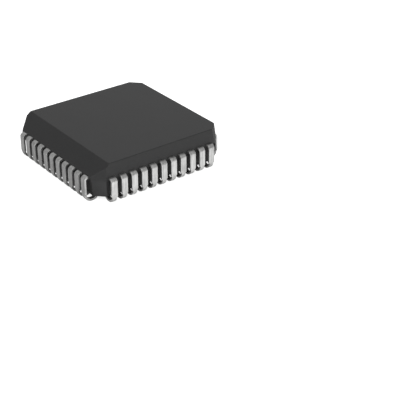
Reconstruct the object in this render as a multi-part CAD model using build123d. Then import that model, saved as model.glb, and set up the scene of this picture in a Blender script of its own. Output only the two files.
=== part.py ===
from build123d import *
import math
import os

os.makedirs("parts", exist_ok=True)

# A 44-lead plastic leaded chip carrier, standing on its lead bends. Millimetres, +Z up.
# The origin is on the seating plane under the middle of the body.
# The bevelled top edge is on the -Y side, where lead 1 is the middle one.

# Lead rows: 1.27 mm pitch, and the rows are 17.53 mm apart over their faces
LEADS_PER_SIDE = 11
ROW_END = 1.905
LEAD_STANDOFF = 0.51
LEAD_THICKNESS = 0.25
LEAD_WIDE = 0.73
LEAD_NARROW = 0.50
LEAD_TOP = 3.01
SHOULDER_RADIUS = 0.45
J_RADIUS = 0.94
J_SWEEP = 160.0
TAPER_LOW = 0.75
TAPER_HEIGHT = 0.25

# Moulded body
OVERALL_HEIGHT = 4.57
BODY_SIZE = 16.51
TOP_INSET = 0.185
CORNER_CUT = 1.14
PARTING_LEDGE = 0.03
UNDERSIDE_Z = 0.58
UNDERSIDE_INSET = 0.435
BEVEL_RUN = 1.56
BEVEL_DROP = 1.30
TIP_HEADROOM = 0.346
TIP_GAP = 0.19
RECESS_END_GAP = 0.18

# Lead frame inside the body
FINGER_STRAIGHT = 1.05
FINGER_GAP = 0.70
FINGER_TIP_END = 0.90
FINGER_TIP_WIDTH = 0.35
PADDLE_SIZE = 6.40
TIE_BAR_WIDTH = 0.40
TIE_BAR_COVER = 0.485

# Die and wires
DIE_SIZE = 5.00
DIE_THICKNESS = 0.35
ATTACH_THICKNESS = 0.03
WIRE = 0.05
WIRE_PAD_INSET = 0.20
WIRE_PAD_END = 0.50
WIRE_LAND = 0.25
WIRE_FOOT = 0.10
WIRE_LOOP = 0.28

# Sizes that follow from the ones above
WALL = BODY_SIZE / 2
TOP_SIZE = BODY_SIZE - 2 * TOP_INSET
UNDERSIDE_SIZE = BODY_SIZE - 2 * UNDERSIDE_INSET
HALF_ROW = WALL + LEAD_STANDOFF
ROW_SPAN = 2 * HALF_ROW
LEAD_BOTTOM = LEAD_TOP - LEAD_THICKNESS
PARTING_Z = LEAD_BOTTOM
STEPS_PER_SIDE = LEADS_PER_SIDE - 1
MIDDLE = STEPS_PER_SIDE // 2
LEAD_COUNT = 4 * LEADS_PER_SIDE
PITCH = 2 * (WALL - ROW_END) / STEPS_PER_SIDE
FINGER_TIP_R = PADDLE_SIZE / 2 + FINGER_GAP
FINGER_TIP_PITCH = 2 * (FINGER_TIP_R - FINGER_TIP_END) / STEPS_PER_SIDE
WIRE_PAD_PITCH = (DIE_SIZE - 2 * WIRE_PAD_END) / STEPS_PER_SIDE
TIE_BAR_END = WALL - CORNER_CUT / 2 - TIE_BAR_COVER
TIP_ANGLE = math.radians(180 - J_SWEEP)
TIP_REACH = HALF_ROW - J_RADIUS * (1 + math.cos(TIP_ANGLE))
TIP_TOP = J_RADIUS - (J_RADIUS - LEAD_THICKNESS) * math.sin(TIP_ANGLE)
TIP_INSIDE = HALF_ROW - J_RADIUS - (J_RADIUS - LEAD_THICKNESS) * math.cos(TIP_ANGLE)
RECESS_INNER = TIP_REACH - TIP_GAP
RECESS_OUTER = TIP_INSIDE + TIP_GAP
RECESS_TOP = TIP_TOP + TIP_HEADROOM
DIE_BOTTOM = LEAD_TOP + ATTACH_THICKNESS
DIE_TOP = DIE_BOTTOM + DIE_THICKNESS


def cut_square(size, z):
    """Square outline with cut corners at height z."""
    h = size / 2
    c = h - CORNER_CUT
    points = [(h, -c), (h, c), (c, h), (-c, h), (-h, c), (-h, -c), (-c, -h), (c, -h)]
    return Plane.XY.offset(z) * make_face(Polyline(*points, close=True))


def body_blank():
    """Two drafted halves that meet at the parting line, with the bevel along the -Y top edge."""
    upper_height = OVERALL_HEIGHT - PARTING_Z
    upper_draft = math.degrees(math.atan((BODY_SIZE - TOP_SIZE) / 2 / upper_height))
    upper = extrude(cut_square(BODY_SIZE, PARTING_Z), amount=upper_height, taper=upper_draft)
    lower_height = PARTING_Z - UNDERSIDE_Z
    lower_size = BODY_SIZE - 2 * PARTING_LEDGE
    lower_draft = math.degrees(math.atan((lower_size - UNDERSIDE_SIZE) / 2 / lower_height))
    lower_blank = extrude(cut_square(lower_size, -PARTING_Z), amount=lower_height, taper=lower_draft)
    lower = mirror(lower_blank, about=Plane.XY)
    inner = -TOP_SIZE / 2 + BEVEL_RUN
    reach = 2 * BEVEL_RUN
    slope = BEVEL_DROP / BEVEL_RUN
    bevel = Polyline(
        (inner, OVERALL_HEIGHT),
        (inner - reach, OVERALL_HEIGHT - slope * reach),
        (inner - reach, OVERALL_HEIGHT),
        close=True,
    )
    wedge = extrude(Plane.YZ * make_face(bevel), amount=BODY_SIZE / 2, both=True)
    return upper + lower - wedge


def tip_recess():
    """Groove along one row of the underside that the curled lead tips reach up into."""
    depth = RECESS_OUTER - RECESS_INNER
    height = RECESS_TOP - UNDERSIDE_Z
    length = 2 * (WALL - ROW_END + LEAD_WIDE / 2 + RECESS_END_GAP)
    box = Box(depth, length, height, align=(Align.MIN, Align.CENTER, Align.MIN))
    return Pos(RECESS_INNER, 0, UNDERSIDE_Z) * box


def formed_strip():
    """Side view of a lead outside the body, extruded across its full width; the shoulder's inside is flat."""
    outer_x = HALF_ROW
    inner_x = HALF_ROW - LEAD_THICKNESS
    start_x = WALL - FINGER_STRAIGHT
    bend_x = outer_x - SHOULDER_RADIUS
    bend_z = LEAD_TOP - SHOULDER_RADIUS
    j_x = outer_x - J_RADIUS
    j_inner = J_RADIUS - LEAD_THICKNESS

    def around(x, z, radius, degrees):
        angle = math.radians(degrees)
        return (x + radius * math.cos(angle), z + radius * math.sin(angle))

    half = -J_SWEEP / 2
    edges = [
        Line((start_x, LEAD_TOP), (bend_x, LEAD_TOP)),
        ThreePointArc((bend_x, LEAD_TOP), around(bend_x, bend_z, SHOULDER_RADIUS, 45), (outer_x, bend_z)),
        Line((outer_x, bend_z), (outer_x, J_RADIUS)),
        ThreePointArc(
            (outer_x, J_RADIUS),
            around(j_x, J_RADIUS, J_RADIUS, half),
            around(j_x, J_RADIUS, J_RADIUS, -J_SWEEP),
        ),
        Line(around(j_x, J_RADIUS, J_RADIUS, -J_SWEEP), around(j_x, J_RADIUS, j_inner, -J_SWEEP)),
        ThreePointArc(
            around(j_x, J_RADIUS, j_inner, -J_SWEEP),
            around(j_x, J_RADIUS, j_inner, half),
            (inner_x, J_RADIUS),
        ),
        Line((inner_x, J_RADIUS), (inner_x, bend_z)),
        Line((inner_x, bend_z), (bend_x, LEAD_BOTTOM)),
        Line((bend_x, LEAD_BOTTOM), (start_x, LEAD_BOTTOM)),
        Line((start_x, LEAD_BOTTOM), (start_x, LEAD_TOP)),
    ]
    return extrude(Plane.XZ * make_face(edges), amount=LEAD_WIDE / 2, both=True)


def front_outline():
    """Front view of a lead: wide leg, short taper at the start of the J, narrow foot."""
    wide = LEAD_WIDE / 2
    narrow = LEAD_NARROW / 2
    taper_top = TAPER_LOW + TAPER_HEIGHT
    points = [
        (-narrow, -LEAD_THICKNESS),
        (narrow, -LEAD_THICKNESS),
        (narrow, TAPER_LOW),
        (wide, taper_top),
        (wide, OVERALL_HEIGHT),
        (-wide, OVERALL_HEIGHT),
        (-wide, taper_top),
        (-narrow, TAPER_LOW),
    ]
    return extrude(Plane.YZ * make_face(Polyline(*points, close=True)), amount=ROW_SPAN)


def finger(place):
    """Flat finger inside the body, fanned in from the row to its tip; drawn from the lead's own middle."""
    wide = LEAD_WIDE / 2
    tip = FINGER_TIP_WIDTH / 2
    root_x = WALL - FINGER_STRAIGHT
    shift = place * (FINGER_TIP_PITCH - PITCH)
    points = [
        (root_x, -wide),
        (root_x, wide),
        (FINGER_TIP_R, shift + tip),
        (FINGER_TIP_R, shift - tip),
    ]
    return Pos(0, 0, LEAD_BOTTOM) * extrude(make_face(Polyline(*points, close=True)), amount=LEAD_THICKNESS)


def wire(place):
    """Flat-sided bond wire that rises from the die, slopes over its edge and lands on a finger."""
    pad_x = DIE_SIZE / 2 - WIRE_PAD_INSET
    land_x = FINGER_TIP_R + WIRE_LAND
    pad_y = place * WIRE_PAD_PITCH
    land_y = place * FINGER_TIP_PITCH
    run = math.hypot(land_x - pad_x, land_y - pad_y)
    turn = math.degrees(math.atan2(land_y - pad_y, land_x - pad_x))
    loop = DIE_TOP + WIRE_LOOP
    points = [
        (0, DIE_TOP),
        (WIRE, DIE_TOP),
        (WIRE, loop - 2 * WIRE),
        (run - WIRE_FOOT, LEAD_TOP),
        (run, LEAD_TOP),
        (0, loop),
    ]
    ribbon = extrude(Plane.XZ * make_face(Polyline(*points, close=True)), amount=WIRE / 2, both=True)
    return Pos(pad_x, pad_y, 0) * Rot(0, 0, turn) * ribbon


def paddle():
    """Square island of the lead frame with four diagonal tie bars."""
    island = Rectangle(PADDLE_SIZE, PADDLE_SIZE)
    length = math.hypot(2 * TIE_BAR_END, 2 * TIE_BAR_END)
    bars = [Rot(0, 0, angle) * Rectangle(length, TIE_BAR_WIDTH) for angle in (45, -45)]
    flat = island + bars
    return Pos(0, 0, LEAD_BOTTOM) * extrude(flat, amount=LEAD_THICKNESS)


def slab(size, thickness, z):
    """Square slab standing on height z."""
    return Pos(0, 0, z) * Box(size, size, thickness, align=(Align.CENTER, Align.CENTER, Align.MIN))


# Pieces around the four sides
outer_form = formed_strip() & front_outline()
leads = {}
wires = []
for number in range(1, LEAD_COUNT + 1):
    # Lead 1 is the middle of the -Y side and the count runs counter-clockwise seen from above.
    step = number - 1 + MIDDLE
    side, index = divmod(step % LEAD_COUNT, LEADS_PER_SIDE)
    place = index - STEPS_PER_SIDE / 2
    turn = Rot(0, 0, 90 * (side - 1))
    lead = outer_form + finger(place)
    leads[f"lead_{number:02d}"] = turn * Pos(0, place * PITCH, 0) * lead
    wires.append(turn * wire(place))

die_paddle = paddle()
die_attach = slab(DIE_SIZE, ATTACH_THICKNESS, LEAD_TOP)
silicon_die = slab(DIE_SIZE, DIE_THICKNESS, DIE_BOTTOM)

# Body with an exact pocket for everything it holds
body = body_blank()
for side in range(4):
    body -= Rot(0, 0, 90 * side) * tip_recess()
held = list(leads.values()) + wires + [die_paddle, die_attach, silicon_die]
body = body - held

for name, lead in leads.items():
    export_step(lead, f"parts/{name}.step")
export_step(die_paddle, "parts/die_paddle.step")
export_step(die_attach, "parts/die_attach.step")
export_step(silicon_die, "parts/silicon_die.step")
export_step(Compound(children=wires), "parts/bond_wires.step")
export_step(body, "parts/molded_body.step")
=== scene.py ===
# %% [markdown]
# # A plastic leaded chip carrier
# A square black chip package stands on its 44 curled leads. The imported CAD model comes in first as
# a fixed frame, in metres, with +Z up and the leads' lowest points on z = 0. Every piece made below
# takes the place of one CAD piece, so the shapes can be finer than the CAD's while nothing moves.

# %% Load the frame
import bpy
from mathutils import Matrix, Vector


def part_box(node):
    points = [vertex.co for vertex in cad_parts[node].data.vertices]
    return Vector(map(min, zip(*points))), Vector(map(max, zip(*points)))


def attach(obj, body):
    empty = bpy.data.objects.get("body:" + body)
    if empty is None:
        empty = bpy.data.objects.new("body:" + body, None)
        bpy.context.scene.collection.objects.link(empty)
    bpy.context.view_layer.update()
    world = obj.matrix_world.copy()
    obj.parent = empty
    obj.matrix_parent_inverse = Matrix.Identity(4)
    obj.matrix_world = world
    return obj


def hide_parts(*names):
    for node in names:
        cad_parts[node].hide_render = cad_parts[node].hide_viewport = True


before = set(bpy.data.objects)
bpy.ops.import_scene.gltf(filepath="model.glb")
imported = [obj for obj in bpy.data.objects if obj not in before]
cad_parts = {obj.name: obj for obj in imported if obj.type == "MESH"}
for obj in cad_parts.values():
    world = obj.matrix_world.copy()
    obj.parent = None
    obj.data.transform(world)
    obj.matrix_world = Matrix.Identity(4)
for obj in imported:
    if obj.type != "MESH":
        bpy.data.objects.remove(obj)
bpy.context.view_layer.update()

# %% [markdown]
# ## Sizes
# The sizes are the package standard's, in millimetres, and are the same as in the CAD source. They
# are kept as named values, because the body, the leads and the pieces inside have to agree where
# they meet.

# %% Sizes in millimetres
import math
import bmesh
import bpy
from mathutils import Matrix, Vector

MM = 0.001

PITCH = 1.27
LEADS_PER_SIDE = 11
MIDDLE = (LEADS_PER_SIDE - 1) // 2
LEAD_COUNT = 4 * LEADS_PER_SIDE

lead_low, lead_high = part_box("lead_12")
HALF_ROW = lead_high.x / MM
LEAD_TOP = lead_high.z / MM
LEAD_WIDE = (lead_high.y - lead_low.y) / MM
FINGER_TIP_X = lead_low.x / MM
LEAD_THICKNESS = 0.25
LEAD_NARROW = 0.50
SHOULDER_RADIUS = 0.45
J_RADIUS = 0.94
J_SWEEP = 160.0
TAPER_LOW = 0.75
TAPER_HEIGHT = 0.25
FINGER_STRAIGHT = 1.05
FINGER_TIP_PITCH = 0.60
FINGER_TIP_WIDTH = 0.35
BURR = 0.035

body_low, body_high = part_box("molded_body")
BODY_HALF = body_high.x / MM
BODY_TOP = body_high.z / MM
BODY_BOTTOM = body_low.z / MM
TOP_HALF = 8.07
UNDERSIDE_HALF = 7.82
CORNER_CUT = 1.14
PARTING_Z = LEAD_TOP - LEAD_THICKNESS
PARTING_LEDGE = 0.03
BEVEL_RUN = 1.56
BEVEL_DROP = 1.30
RECESS_TOP = 1.05
RECESS_INNER = 6.752
RECESS_OUTER = 7.367
RECESS_END_GAP = 0.18
RECESS_END = MIDDLE * PITCH + LEAD_WIDE / 2 + RECESS_END_GAP
MOULD_RADIUS = 0.07
NEAR = 0.01  # heights closer to each other than this count as one
print(f"lead rows {2 * HALF_ROW:.2f} mm apart")
print(f"body {2 * BODY_HALF:.2f} mm square, {BODY_TOP:.2f} mm high")

# %% [markdown]
# ## Small helpers for materials
# A material is a chain of nodes. Each chain here starts from Object coordinates, which stick to the
# piece in metres, so a pattern's scale is the number of times it repeats in a metre. The helpers
# only place a node, set its values and link it, so the recipes further down stay short enough to
# read.


# %% Material helpers
def start_material(name):
    """A new material with its Principled shader and its Object coordinates."""
    mat = bpy.data.materials.new(name)
    mat.use_nodes = True
    tree = mat.node_tree
    shader = tree.nodes["Principled BSDF"]
    coords = tree.nodes.new("ShaderNodeTexCoord").outputs["Object"]
    return mat, tree, shader, coords


def add_node(tree, kind, values=None, links=None):
    """Adds one node, sets its input values and links sockets into it."""
    node = tree.nodes.new(kind)
    for key, value in (values or {}).items():
        node.inputs[key].default_value = value
    for key, source in (links or {}).items():
        tree.links.new(source, node.inputs[key])
    return node


def noise(tree, coords, scale, detail=3.0, stretch=None):
    """Noise at a scale per metre; stretch lengthens it along an axis."""
    if stretch:
        stretched = add_node(tree, "ShaderNodeMapping", {"Scale": stretch}, {"Vector": coords})
        coords = stretched.outputs["Vector"]
    values = {"Scale": scale, "Detail": detail}
    return add_node(tree, "ShaderNodeTexNoise", values, {"Vector": coords}).outputs["Fac"]


def ramp(tree, fac, low, high, start=0.3, end=0.7):
    """Turns a 0 to 1 pattern into a range of colours or greys."""
    node = add_node(tree, "ShaderNodeValToRGB", links={"Fac": fac})
    for stop, place, value in zip(node.color_ramp.elements, (start, end), (low, high)):
        stop.position = place
        stop.color = (*value, 1.0) if isinstance(value, tuple) else (value, value, value, 1.0)
    return node.outputs["Color"]


def blend(tree, fac, a, b, kind="MIX"):
    """Mixes two colours by a pattern or a fixed share."""
    node = tree.nodes.new("ShaderNodeMix")
    node.data_type = "RGBA"
    node.blend_type = kind
    sockets = [s for s in node.inputs if s.enabled]
    for socket, value in zip(sockets, (fac, a, b)):
        if isinstance(value, bpy.types.NodeSocket):
            tree.links.new(value, socket)
        else:
            socket.default_value = value
    return [s for s in node.outputs if s.enabled][0]


def bump(tree, height, distance, strength=1.0, normal=None):
    """Fine relief of a given depth in metres."""
    values = {"Strength": strength, "Distance": distance}
    links = {"Height": height}
    if normal is not None:
        links["Normal"] = normal
    return add_node(tree, "ShaderNodeBump", values, links).outputs["Normal"]


# %% [markdown]
# ## Mould compound
# The body is black epoxy filled with fine silica. Its mould is spark-eroded, which leaves an even,
# very fine matt grain, and the flow of the epoxy leaves faint cloudy changes in tone. A flat grey
# would look like paper, so the grain goes into the relief and the gloss, and the clouds into the
# colour.

# %% Mould compound material
mould, tree, shader, coords = start_material("mould_compound")
clouds = noise(tree, coords, 260.0, 4.0)
grain = noise(tree, coords, 14000.0, 2.0)
specks = noise(tree, coords, 5200.0, 5.0)
cloudy = ramp(tree, clouds, (0.0150, 0.0150, 0.0153), (0.0180, 0.0180, 0.0183))
speckled = ramp(tree, specks, (0.0133, 0.0133, 0.0136), (0.0198, 0.0198, 0.0201), 0.35, 0.68)
tree.links.new(blend(tree, 0.4, cloudy, speckled), shader.inputs["Base Color"])
tree.links.new(ramp(tree, grain, 0.50, 0.62), shader.inputs["Roughness"])
relief = bump(tree, specks, 0.000003, 0.7)
tree.links.new(bump(tree, grain, 0.0000015, 0.6, relief), shader.inputs["Normal"])
shader.inputs["Specular IOR Level"].default_value = 0.42
shader.inputs["IOR"].default_value = 1.5
print("made", mould.name)

# %% [markdown]
# ## Tin-plated lead
# The leads are stamped from copper alloy strip and plated with matt tin. Matt tin is a fine-grained
# metal: bright, with a soft blurred reflection. Rolling and bending leave faint streaks along each
# lead, and the sockets and trays that leads rub against leave small duller marks, so both gloss and
# colour vary a little.

# %% Tin plating material
tin, tree, shader, coords = start_material("tinned_lead")
crystals = noise(tree, coords, 9000.0, 3.0)
streaks = noise(tree, coords, 5200.0, 3.0, (1.0, 1.0, 0.09))
marks = noise(tree, coords, 900.0, 4.0)
pale = ramp(tree, streaks, (0.33, 0.33, 0.327), (0.59, 0.59, 0.583), 0.36, 0.66)
dull = ramp(tree, marks, (0.37, 0.37, 0.366), (0.51, 0.51, 0.504), 0.32, 0.6)
tree.links.new(blend(tree, 0.45, pale, dull), shader.inputs["Base Color"])
tree.links.new(ramp(tree, marks, 0.50, 0.42, 0.35, 0.65), shader.inputs["Roughness"])
relief = bump(tree, streaks, 0.000004, 0.6)
tree.links.new(bump(tree, crystals, 0.0000015, 0.5, relief), shader.inputs["Normal"])
shader.inputs["Metallic"].default_value = 1.0
print("made", tin.name)

# %% [markdown]
# ## Finishes of the pieces inside
# Nothing inside can be seen in a finished chip, but each piece keeps its real finish, for anyone
# who takes the model apart: bare copper alloy for the paddle, a grey cured adhesive, dark polished
# silicon with its printed circuit blocks, and gold for the wires.


# %% Materials of the pieces inside
def inner_metal(name, low, high, rough_low, rough_high):
    """Bare metal with a rolled streak and a little tarnish."""
    mat, tree, shader, coords = start_material(name)
    rolled = noise(tree, coords, 4000.0, 3.0, (1.0, 0.08, 1.0))
    tarnish = noise(tree, coords, 700.0, 4.0)
    tree.links.new(ramp(tree, tarnish, low, high), shader.inputs["Base Color"])
    tree.links.new(ramp(tree, rolled, rough_low, rough_high), shader.inputs["Roughness"])
    tree.links.new(bump(tree, rolled, 0.000002, 0.5), shader.inputs["Normal"])
    shader.inputs["Metallic"].default_value = 1.0
    return mat


copper = inner_metal("copper_alloy", (0.55, 0.27, 0.16), (0.72, 0.40, 0.25), 0.30, 0.42)
gold = inner_metal("gold_wire", (0.80, 0.55, 0.18), (0.92, 0.68, 0.27), 0.18, 0.26)

adhesive, tree, shader, coords = start_material("adhesive")
filler = noise(tree, coords, 9000.0, 3.0)
tree.links.new(ramp(tree, filler, (0.30, 0.29, 0.26), (0.42, 0.41, 0.38)), shader.inputs["Base Color"])
tree.links.new(ramp(tree, filler, 0.45, 0.6), shader.inputs["Roughness"])
tree.links.new(bump(tree, filler, 0.000004, 0.5), shader.inputs["Normal"])

silicon, tree, shader, coords = start_material("silicon")
block_colours = {
    "Color1": (0.05, 0.06, 0.09, 1.0), "Color2": (0.10, 0.09, 0.12, 1.0), "Mortar": (0.30, 0.27, 0.22, 1.0),
}
block_sizes = {"Scale": 1600.0, "Mortar Size": 0.04}
blocks = add_node(tree, "ShaderNodeTexBrick", block_colours | block_sizes, {"Vector": coords})
tree.links.new(blocks.outputs["Color"], shader.inputs["Base Color"])
tree.links.new(ramp(tree, noise(tree, coords, 1500.0), 0.14, 0.22), shader.inputs["Roughness"])
shader.inputs["Metallic"].default_value = 0.6

inside = {"die_paddle": copper, "die_attach": adhesive, "silicon_die": silicon, "bond_wires": gold}
for node, mat in inside.items():
    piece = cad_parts[node]
    piece.data.materials.clear()
    piece.data.materials.append(mat)
print("finished", ", ".join(inside))

# %% [markdown]
# ## From bmesh to piece
# A bmesh is shaped in millimetres, which keeps the numbers readable, and scaled to metres at the
# very end. The piece then rides on the frame's one body and stands for its CAD node. Its object
# stays at the origin, and its place is in its mesh, so Object coordinates are the same for every
# piece. A weighted normal modifier keeps the broad faces flat in the light and lets only the narrow
# rounds between them shade softly.


# %% Piece helpers
def add_object(name, data):
    """Puts a mesh, a lamp or a camera into the scene."""
    made = bpy.data.objects.new(name, data)
    bpy.context.scene.collection.objects.link(made)
    return made


def object_from(bm, name):
    """Turns a bmesh into an object, with its faces turned outwards."""
    bmesh.ops.recalc_face_normals(bm, faces=bm.faces[:])
    mesh = bpy.data.meshes.new(name)
    bm.to_mesh(mesh)
    bm.free()
    return add_object(name, mesh)


def finish_piece(bm, name, mat, node, smooth_degrees):
    """Makes a finished piece from a bmesh in millimetres."""
    bmesh.ops.scale(bm, vec=(MM, MM, MM), verts=bm.verts[:])
    piece = object_from(bm, name)
    piece.data.materials.append(mat)
    piece.data.shade_smooth()
    piece.data.set_sharp_from_angle(angle=math.radians(smooth_degrees))
    weighted = piece.modifiers.new("flat_faces", "WEIGHTED_NORMAL")
    weighted.keep_sharp = True
    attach(piece, "root")
    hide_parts(node)
    return piece


def move(bm, verts, offset):
    """Moves some of a bmesh's vertices."""
    bmesh.ops.translate(bm, vec=offset, verts=verts)


def resize(bm, verts, factors):
    """Scales some of a bmesh's vertices along X, Y and Z from the chip's middle."""
    bmesh.ops.scale(bm, vec=factors, verts=verts)


def extrude_face(bm, face):
    """Extrudes one face in place and returns the new end face."""
    made = bmesh.ops.extrude_discrete_faces(bm, faces=[face])
    return made["faces"][0]


def bevel(bm, edges, width, segments=3):
    """Rounds edges, or cuts them off straight with one segment."""
    bmesh.ops.bevel(
        bm, geom=edges, offset=width, segments=segments, profile=0.5, affect="EDGES", material=-1
    )


def bent_edges(bm, degrees):
    """The edges whose two faces meet at more than an angle."""
    return [e for e in bm.edges if e.is_manifold and e.calc_face_angle() > math.radians(degrees)]


# %% [markdown]
# ## Body
# The real body is moulded in two halves that meet at the level of the leads' undersides, and both
# halves lean inwards so that it leaves the mould. It starts as a block, the four upright edges are
# cut off with a one-step bevel, and scaling its end faces gives the lean. The same face is extruded
# twice: first outwards for the tiny ledge of the parting line, and then up to the top face.

# %% Body block with its parting line
body = bmesh.new()
bmesh.ops.create_cube(body, size=1.0)
lower_half = BODY_HALF - PARTING_LEDGE
resize(body, body.verts, (2 * lower_half, 2 * lower_half, PARTING_Z - BODY_BOTTOM))
move(body, body.verts, (0, 0, (PARTING_Z + BODY_BOTTOM) / 2))
upright = [e for e in body.edges if abs(e.verts[0].co.z - e.verts[1].co.z) > NEAR]
bevel(body, upright, CORNER_CUT, segments=1)

bottom_verts = [v for v in body.verts if v.co.z < BODY_BOTTOM + NEAR]
resize(body, bottom_verts, (UNDERSIDE_HALF / lower_half, UNDERSIDE_HALF / lower_half, 1))

body.faces.ensure_lookup_table()
top_face = max(body.faces, key=lambda f: f.calc_center_median().z)
top_face = extrude_face(body, top_face)
resize(body, top_face.verts, (BODY_HALF / lower_half, BODY_HALF / lower_half, 1))
top_face = extrude_face(body, top_face)
move(body, top_face.verts, (0, 0, BODY_TOP - PARTING_Z))
resize(body, top_face.verts, (TOP_HALF / BODY_HALF, TOP_HALF / BODY_HALF, 1))
print("body block has", len(body.faces), "faces")

# %% [markdown]
# ## Bevelled edge
# The broad bevel along one top edge tells which way round the chip goes. A plane slices the block
# there, the part outside the plane is thrown away, and the open loop it leaves is filled with one
# face.

# %% Cut the broad bevel
edge_point = Vector((0, -TOP_HALF + BEVEL_RUN, BODY_TOP))
edge_normal = Vector((0, -BEVEL_DROP, BEVEL_RUN)).normalized()
everything = body.verts[:] + body.edges[:] + body.faces[:]
cut = bmesh.ops.bisect_plane(
    body, geom=everything, dist=0.0001, plane_co=edge_point, plane_no=edge_normal, clear_outer=True
)
rim = [e for e in cut["geom_cut"] if isinstance(e, bmesh.types.BMEdge)]
bmesh.ops.contextual_create(body, geom=rim)
print("bevel rim of", len(rim), "edges")

# %% [markdown]
# ## Room for the lead tips
# The leads curl under the body, and a groove along each row leaves their tips free to spring. Four
# blocks are taken away with boolean modifiers, because each groove starts and ends inside the
# underside's face.


# %% Cut the four grooves
def quarter_turn(turn):
    """Rotation round the chip's middle to one of its sides."""
    return Matrix.Rotation(math.radians(turn), 3, "Z")


def groove_block(turn):
    """Block that fills one groove, turned to its side of the body."""
    bm = bmesh.new()
    bmesh.ops.create_cube(bm, size=1.0)
    resize(bm, bm.verts, (RECESS_OUTER - RECESS_INNER, 2 * RECESS_END, 2 * (RECESS_TOP - BODY_BOTTOM)))
    move(bm, bm.verts, ((RECESS_OUTER + RECESS_INNER) / 2, 0, BODY_BOTTOM))
    bmesh.ops.rotate(bm, cent=(0, 0, 0), matrix=quarter_turn(turn), verts=bm.verts[:])
    return object_from(bm, "groove_block")


body_block = object_from(body, "body_block")
cutters = [groove_block(turn) for turn in (0, 90, 180, 270)]
for cutter in cutters:
    cutting = body_block.modifiers.new("groove", "BOOLEAN")
    cutting.operation = "DIFFERENCE"
    cutting.solver = "EXACT"
    cutting.object = cutter
depsgraph = bpy.context.evaluated_depsgraph_get()
carved = bpy.data.meshes.new_from_object(body_block.evaluated_get(depsgraph))
for leftover in [body_block, *cutters]:
    bpy.data.objects.remove(leftover)
print("carved body has", len(carved.polygons), "faces")

# %% [markdown]
# ## Rounded edges
# No moulded edge is perfectly sharp: the mould's own corners have a small radius, and it is this
# radius that catches the light. Every edge gets a narrow bevel of three segments, apart from those
# of the parting line, where the two halves of the mould meet and leave a crisp step.

# %% Round the body's edges
SAME_POINT = 0.0005
FLAT_DEGREES = 0.5
EDGE_DEGREES = 12
BODY_SMOOTH_DEGREES = 35

body = bmesh.new()
body.from_mesh(carved)
bmesh.ops.remove_doubles(body, verts=body.verts[:], dist=SAME_POINT)
flat = math.radians(FLAT_DEGREES)
bmesh.ops.dissolve_limit(body, angle_limit=flat, verts=body.verts[:], edges=body.edges[:])
sharp = bent_edges(body, EDGE_DEGREES)
moulded = [e for e in sharp if any(abs(v.co.z - PARTING_Z) > NEAR for v in e.verts)]
bevel(body, moulded, MOULD_RADIUS)
body_piece = finish_piece(body, "body_shell", mould, "molded_body", BODY_SMOOTH_DEGREES)
print("body has", len(body_piece.data.polygons), "faces after rounding")

# %% [markdown]
# ## One lead
# A lead is a strip that is cut out flat and then bent, so it is made the same way: a rectangle the
# size of the strip's section is carried along the strip's path. Extrude moves it straight and spin
# carries it round the shoulder and the J. The foot is narrower than the leg, so each ring of the J
# is then squeezed towards the lead's middle, by an amount that starts and ends softly, as the
# stamping die's own corners are rounded.

# %% Lead along its path
SHOULDER_STEPS = 8
J_STEPS = 32
RING_DEPTH = 0.2  # how far inside the wall the finger has its last ring


def spin_face(bm, face, centre, axis, degrees, steps):
    """Carries an end face round a bend, without leaving it inside, and returns the new end face."""
    made = bmesh.ops.spin(
        bm, geom=[face], cent=centre, axis=axis, dvec=(0, 0, 0), angle=math.radians(degrees),
        steps=steps, use_merge=False, use_duplicate=False,
    )
    bmesh.ops.delete(bm, geom=[face], context="FACES_ONLY")
    return [g for g in made["geom_last"] if isinstance(g, bmesh.types.BMFace)][0]


def squeeze_foot(bm):
    """Narrows the lead over its taper; a ring in the J counts by the height of its outer face."""
    for v in bm.verts:
        height = v.co.z
        if height < J_RADIUS:
            turned = math.atan2(J_RADIUS - height, v.co.x - (HALF_ROW - J_RADIUS))
            height = J_RADIUS * (1 - math.sin(turned))
        share = min(max((height - TAPER_LOW) / TAPER_HEIGHT, 0.0), 1.0)
        share = share * share * (3 - 2 * share)
        v.co.y *= (LEAD_NARROW + (LEAD_WIDE - LEAD_NARROW) * share) / LEAD_WIDE


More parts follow.
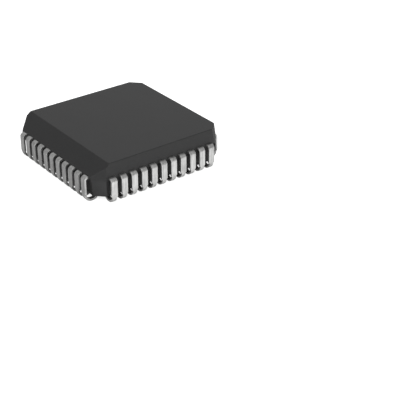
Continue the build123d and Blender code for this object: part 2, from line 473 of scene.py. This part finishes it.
def lead_strip(place):
    """A bent lead for the +X side, drawn round its own middle; place counts from the side's middle."""
    bm = bmesh.new()
    shift = place * (FINGER_TIP_PITCH - PITCH)
    low = LEAD_TOP - LEAD_THICKNESS
    bend_x = HALF_ROW - SHOULDER_RADIUS
    bend_z = LEAD_TOP - SHOULDER_RADIUS
    root_x = BODY_HALF - FINGER_STRAIGHT

    upended = Matrix.Rotation(math.radians(90), 3, "Y")
    bmesh.ops.create_grid(bm, x_segments=1, y_segments=1, size=0.5)
    bmesh.ops.rotate(bm, cent=(0, 0, 0), matrix=upended, verts=bm.verts[:])
    resize(bm, bm.verts, (1, FINGER_TIP_WIDTH, LEAD_THICKNESS))
    move(bm, bm.verts, (FINGER_TIP_X, shift, low + LEAD_THICKNESS / 2))
    end = extrude_face(bm, bm.faces[:][0])
    move(bm, end.verts, (root_x - FINGER_TIP_X, -shift, 0))
    resize(bm, end.verts, (1, LEAD_WIDE / FINGER_TIP_WIDTH, 1))
    end = extrude_face(bm, end)
    move(bm, end.verts, (BODY_HALF - RING_DEPTH - root_x, 0, 0))
    end = extrude_face(bm, end)
    move(bm, end.verts, (bend_x - BODY_HALF + RING_DEPTH, 0, 0))
    end = spin_face(bm, end, (bend_x, 0, bend_z), (0, 1, 0), 90, SHOULDER_STEPS)
    end = extrude_face(bm, end)
    move(bm, end.verts, (0, 0, TAPER_LOW + TAPER_HEIGHT - bend_z))
    end = extrude_face(bm, end)
    move(bm, end.verts, (0, 0, J_RADIUS - TAPER_LOW - TAPER_HEIGHT))
    spin_face(bm, end, (HALF_ROW - J_RADIUS, 0, J_RADIUS), (0, 1, 0), J_SWEEP, J_STEPS)
    squeeze_foot(bm)
    bmesh.ops.holes_fill(bm, edges=[e for e in bm.edges if e.is_boundary], sides=4)
    return bm


trial = lead_strip(0)
xs, ys, zs = ([getattr(v.co, axis) for v in trial.verts] for axis in "xyz")
print("lead spans", [round(f(c), 3) for c in (xs, ys, zs) for f in (min, max)])
trial.free()

# %% [markdown]
# ## All leads
# Each lead's long edges get a small round, as stamping leaves on the side where the punch enters.
# The leads count counter-clockwise seen from above, from lead 1 in the middle of the bevelled side,
# and each one is turned and moved to its place in its own mesh.


# %% Place the leads
STAMPED_DEGREES = 60
LEAD_SMOOTH_DEGREES = 50


def soften_edges(bm):
    """Small round along the strip's long edges and its cut end."""
    bmesh.ops.recalc_face_normals(bm, faces=bm.faces[:])
    bevel(bm, bent_edges(bm, STAMPED_DEGREES), BURR)


lead_faces = 0
for number in range(1, LEAD_COUNT + 1):
    side, index = divmod((number - 1 + MIDDLE) % LEAD_COUNT, LEADS_PER_SIDE)
    place = index - MIDDLE
    lead = lead_strip(place)
    soften_edges(lead)
    move(lead, lead.verts, (0, place * PITCH, 0))
    bmesh.ops.rotate(lead, cent=(0, 0, 0), matrix=quarter_turn(90 * (side - 1)), verts=lead.verts[:])
    piece = finish_piece(
        lead, f"formed_lead_{number:02d}", tin, f"lead_{number:02d}", LEAD_SMOOTH_DEGREES
    )
    lead_faces += len(piece.data.polygons)
print(LEAD_COUNT, "leads with", lead_faces, "faces in all")

# %% [markdown]
# ## Floor
# The chip stands on a plain white sheet. A camera ray sees the sheet's soft shadow with some white
# added, so the background stays white. The leads are the sheet's best mirror, and the sheet carries
# a painted reflection for them: a patch of painted light that only glossy rays see, so the leads of
# the right row show a bright table and those of the left row a dimmer one. The painted sheen grows
# from left to right, begins earlier close to the cut corner, whose lower half looks down on it, and
# fades towards the front.

# %% Floor
FLOOR_SIZE = 4.0
# Where the painted sheen starts and where it is full, in metres: painted light that only glossy rays see.
RIGHT_PAINTED_SHEEN_X = (0.0078, 0.0096)
CORNER_PAINTED_SHEEN_X = (0.0066, 0.0082)
CORNER_PAINTED_SHEEN_Y = (-0.0064, -0.0078)
PAINTED_SHEEN_FADE_Y = (-0.0160, -0.0085)

bpy.ops.mesh.primitive_plane_add(size=FLOOR_SIZE)
floor = bpy.context.object
floor.name = "floor"
floor_with_painted_sheen, tree, shader, coords = start_material("floor_white_with_painted_sheen")
shader.inputs["Base Color"].default_value = (0.8, 0.8, 0.8, 1.0)
shader.inputs["Roughness"].default_value = 0.9
shader.inputs["Specular IOR Level"].default_value = 0.0


def add_light(shader_output, emission_output):
    """Sum of a surface and its own light."""
    node = tree.nodes.new("ShaderNodeAddShader")
    tree.links.new(shader_output, node.inputs[0])
    tree.links.new(emission_output, node.inputs[1])
    return node.outputs["Shader"]


def seen_by(ray, first, second):
    """The second surface for one kind of ray, and the first for all others."""
    node = tree.nodes.new("ShaderNodeMixShader")
    tree.links.new(path.outputs[ray], node.inputs["Fac"])
    tree.links.new(first, node.inputs[1])
    tree.links.new(second, node.inputs[2])
    return node.outputs["Shader"]


def between(axis, start, full):
    """Grows from 0 to 1 between two places on the sheet."""
    values = {"From Min": start, "From Max": full}
    return add_node(tree, "ShaderNodeMapRange", values, {"Value": place_on_sheet[axis]}).outputs["Result"]


path = tree.nodes.new("ShaderNodeLightPath")
place_on_sheet = add_node(tree, "ShaderNodeSeparateXYZ", links={"Vector": coords}).outputs
at_corner = blend(tree, 1.0, between("X", *CORNER_PAINTED_SHEEN_X), between("Y", *CORNER_PAINTED_SHEEN_Y), "MULTIPLY")
brightest = blend(tree, 1.0, between("X", *RIGHT_PAINTED_SHEEN_X), at_corner, "LIGHTEN")
painted_sheen_patch = blend(tree, 1.0, brightest, between("Y", *PAINTED_SHEEN_FADE_Y), "MULTIPLY")
# Painted light: the sheet glows here for glossy rays only, a painted reflection in the leads and the cut
# corner.
painted_sheen = add_node(tree, "ShaderNodeEmission", {"Strength": 1.0}, {"Color": painted_sheen_patch})
white = add_node(tree, "ShaderNodeEmission", {"Color": (1, 1, 1, 1), "Strength": 0.8})
sheet = shader.outputs["BSDF"]
glossy_sees_painted_sheen = seen_by("Is Glossy Ray", sheet, add_light(sheet, painted_sheen.outputs["Emission"]))
finished = seen_by("Is Camera Ray", glossy_sees_painted_sheen, add_light(sheet, white.outputs["Emission"]))
tree.links.new(finished, tree.nodes["Material Output"].inputs["Surface"])
floor.data.materials.append(floor_with_painted_sheen)
print("floor is", FLOOR_SIZE, "m wide")

# %% [markdown]
# ## Light
# A studio shot of a small black part uses large soft lights: black plastic shows its shape mostly
# by what it reflects. One broad light hangs high at the right, one stands low in front for the cut
# corner, a third behind at the left gives the top face its sheen, and the pale world fills the
# rest.


# %% World and lamps
LAMP_DISTANCE = 0.35
LAMP_AIM = Vector((0, 0, 0.002))


def outwards(azimuth, elevation):
    """Direction away from the chip; azimuth 0 is the -Y side, 90 is +X."""
    a, e = math.radians(azimuth), math.radians(elevation)
    return Vector((math.sin(a) * math.cos(e), -math.cos(a) * math.cos(e), math.sin(e)))


def area_light(name, azimuth, elevation, size, power):
    """A soft square lamp that faces the chip."""
    data = bpy.data.lights.new(name, "AREA")
    data.size = size
    data.energy = power
    lamp = add_object(name, data)
    lamp.location = LAMP_AIM + LAMP_DISTANCE * outwards(azimuth, elevation)
    lamp.rotation_euler = (LAMP_AIM - lamp.location).to_track_quat("-Z", "Y").to_euler()


world = bpy.data.worlds.new("studio")
world.use_nodes = True
background = world.node_tree.nodes["Background"]
background.inputs["Color"].default_value = (1.0, 1.0, 1.0, 1.0)
background.inputs["Strength"].default_value = 0.52
bpy.context.scene.world = world

area_light("high_right", 60, 55, 0.22, 0.28)
area_light("low_front", 20, 15, 0.20, 0.32)
area_light("back_left", 233, 32, 0.20, 0.09)

# %% [markdown]
# ## Camera
# The picture looks down at the front corner. Azimuth, height angle, distance and lens were worked
# out from the lead rows, whose pitch is known. The picture's middle isn't the chip's middle, so the
# camera is slid sideways and down without being turned.

# %% Camera
CAMERA_AZIMUTH = 52.65
CAMERA_ELEVATION = 29.55
CAMERA_DISTANCE = 0.12459
LENS_PIXELS = 1102.9
IMAGE_PIXELS = 400
SENSOR_WIDTH = 36.0
SLIDE_RIGHT = 0.009074
SLIDE_UP = -0.004875

back = outwards(CAMERA_AZIMUTH, CAMERA_ELEVATION)
right = Vector((-back.y, back.x, 0)).normalized()
up = back.cross(right)
camera_data = bpy.data.cameras.new("camera")
camera_data.sensor_width = SENSOR_WIDTH
camera_data.lens = SENSOR_WIDTH * LENS_PIXELS / IMAGE_PIXELS
camera_data.clip_start = 0.005
camera = add_object("camera", camera_data)
axes = Matrix((right, up, back)).transposed().to_4x4()
standpoint = right * SLIDE_RIGHT + up * SLIDE_UP + back * CAMERA_DISTANCE
camera.matrix_world = Matrix.Translation(standpoint) @ axes
bpy.context.scene.camera = camera
bpy.context.scene.view_settings.view_transform = "Standard"
print("lens", round(camera_data.lens, 2), "mm")
